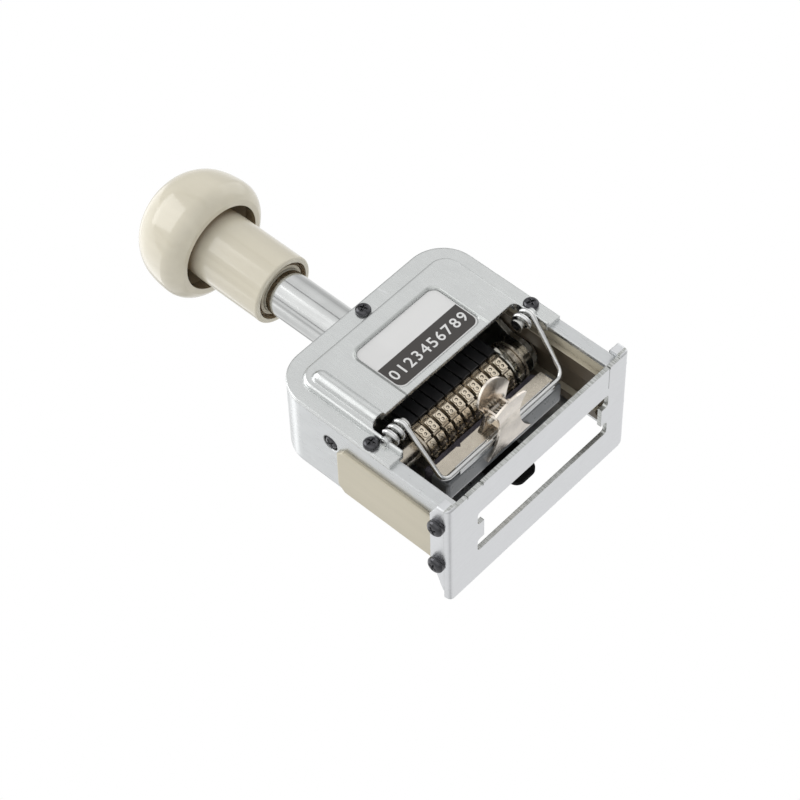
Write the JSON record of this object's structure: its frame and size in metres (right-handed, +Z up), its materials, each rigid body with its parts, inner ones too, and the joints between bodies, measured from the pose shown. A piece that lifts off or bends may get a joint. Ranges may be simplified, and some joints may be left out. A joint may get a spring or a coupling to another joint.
{
  "type": "numbering machine",
  "caption": "Self-inking numbering machine: knob plunger, number wheels in a sheet-metal casing on two legs, ink pad holder on a swinging wire bail, base plate with a window.",
  "frame": {"origin": "middle of the underside of the base plate, on the paper", "axes": "+Z up the plunger to the knob, -Y out of the front cover, +X to the right as seen from the front"},
  "size_m": [0.085, 0.0487, 0.1598],
  "materials": {
    "zinc_sheet": "bright zinc plate, faintly mottled",
    "plated_plate": "satin nickel plate",
    "chrome_tube": "polished plate",
    "bright_steel": "bright ground steel",
    "bright_wire": "bright drawn wire",
    "nickel": "warm satin nickel",
    "wheel_nickel": "warm nickel with ink in the recesses",
    "dark_plate": "dark phosphated steel",
    "grey_plate": "grey enamel",
    "black_steel": "black oxide",
    "black_screw": "black oxide, half gloss",
    "bronze_leaf": "spring bronze",
    "handle_plastic": "gloss",
    "guide_plastic": "half matt",
    "black_plastic": "matt",
    "label": "printed film",
    "pad_felt": "inked felt"
  },
  "bodies": {
    "frame": {"casing": "zinc_sheet", "front_cover": "zinc_sheet", "cover_label": "label", "cover_screws": "black_screw", "side_screws": "black_screw", "stem_tube": "chrome_tube", "stem_nut": "zinc_sheet", "left_guide": "guide_plastic", "right_guide": "guide_plastic", "base_plate": "plated_plate", "base_screws": "black_screw", "spring_washers": "black_screw", "base_rivets": "plated_plate", "bail_pins": "bright_steel", "aiming_tab": "black_plastic"},
    "plunger": {"knob": "handle_plastic", "handle_sleeve": "handle_plastic", "sleeve_bush": "black_plastic", "plunger_rod": "bright_steel", "rod_nut": "zinc_sheet", "return_spring": "bright_steel", "wheel_carriage": "dark_plate", "wheel_axle": "bright_steel", "axle_nuts": "nickel", "wheel_spacers": "nickel", "detent_fingers": "black_steel", "detent_rod": "bright_steel", "detent_leaf": "bronze_leaf"},
    "wheel_01": {"number_wheel_01": "wheel_nickel"},
    "wheel_02": {"number_wheel_02": "wheel_nickel"},
    "wheel_03": {"number_wheel_03": "wheel_nickel"},
    "wheel_04": {"number_wheel_04": "wheel_nickel"},
    "wheel_05": {"number_wheel_05": "wheel_nickel"},
    "wheel_06": {"number_wheel_06": "wheel_nickel"},
    "wheel_07": {"number_wheel_07": "wheel_nickel"},
    "wheel_08": {"number_wheel_08": "wheel_nickel"},
    "wheel_09": {"number_wheel_09": "wheel_nickel"},
    "wheel_10": {"number_wheel_10": "wheel_nickel", "drive_ratchet": "nickel"},
    "feed": {"feed_arm": "nickel", "feed_pawl": "nickel"},
    "pad_holder": {"pad_bail": "bright_wire", "hem_channel": "nickel", "pad_tray": "grey_plate", "ink_pad": "pad_felt", "clamp_plate": "nickel", "clip_lower": "nickel", "clip_pin": "bright_steel", "clip_spring": "bright_wire"},
    "clip": {"clip_lever": "nickel"}
  },
  "joints": [
    {"name": "plunger_slide", "type": "slide", "parent": "frame", "child": "plunger", "axis": [0, 0, -1], "range_m": [0, 0.0256], "stiffness_N_per_m": 350, "springref_m": -0.022, "deforming": ["return_spring"]},
    {"name": "wheel_01_turn", "type": "hinge", "parent": "plunger", "child": "wheel_01", "pos_m": [0, -0.0027, 0.034], "axis": [1, 0, 0], "continuous": true},
    {"name": "wheel_02_turn", "type": "hinge", "parent": "plunger", "child": "wheel_02", "pos_m": [0, -0.0027, 0.034], "axis": [1, 0, 0], "continuous": true},
    {"name": "wheel_03_turn", "type": "hinge", "parent": "plunger", "child": "wheel_03", "pos_m": [0, -0.0027, 0.034], "axis": [1, 0, 0], "continuous": true},
    {"name": "wheel_04_turn", "type": "hinge", "parent": "plunger", "child": "wheel_04", "pos_m": [0, -0.0027, 0.034], "axis": [1, 0, 0], "continuous": true},
    {"name": "wheel_05_turn", "type": "hinge", "parent": "plunger", "child": "wheel_05", "pos_m": [0, -0.0027, 0.034], "axis": [1, 0, 0], "continuous": true},
    {"name": "wheel_06_turn", "type": "hinge", "parent": "plunger", "child": "wheel_06", "pos_m": [0, -0.0027, 0.034], "axis": [1, 0, 0], "continuous": true},
    {"name": "wheel_07_turn", "type": "hinge", "parent": "plunger", "child": "wheel_07", "pos_m": [0, -0.0027, 0.034], "axis": [1, 0, 0], "continuous": true},
    {"name": "wheel_08_turn", "type": "hinge", "parent": "plunger", "child": "wheel_08", "pos_m": [0, -0.0027, 0.034], "axis": [1, 0, 0], "continuous": true},
    {"name": "wheel_09_turn", "type": "hinge", "parent": "plunger", "child": "wheel_09", "pos_m": [0, -0.0027, 0.034], "axis": [1, 0, 0], "continuous": true},
    {"name": "wheel_10_turn", "type": "hinge", "parent": "plunger", "child": "wheel_10", "pos_m": [0, -0.0027, 0.034], "axis": [1, 0, 0], "continuous": true},
    {"name": "feed_turn", "type": "hinge", "parent": "plunger", "child": "feed", "pos_m": [0, -0.0027, 0.034], "axis": [1, 0, 0], "range_deg": [0, 40]},
    {"name": "pad_swing", "type": "hinge", "parent": "frame", "child": "pad_holder", "pos_m": [0, -0.022, 0.0315], "axis": [-1, 0, 0], "range_deg": [0, 75]},
    {"name": "clip_press", "type": "hinge", "parent": "pad_holder", "child": "clip", "pos_m": [0.0016, -0.0162, 0.0166], "axis": [1, 0, 0], "range_deg": [0, 12], "stiffness_Nm_per_rad": 0.05, "springref_deg": -20.05}
  ],
  "couplings": [
    {"joint": "pad_swing", "follows": "plunger_slide", "rad_per_m": 51.065},
    {"joint": "feed_turn", "follows": "plunger_slide", "rad_per_m": 27.203}
  ]
}
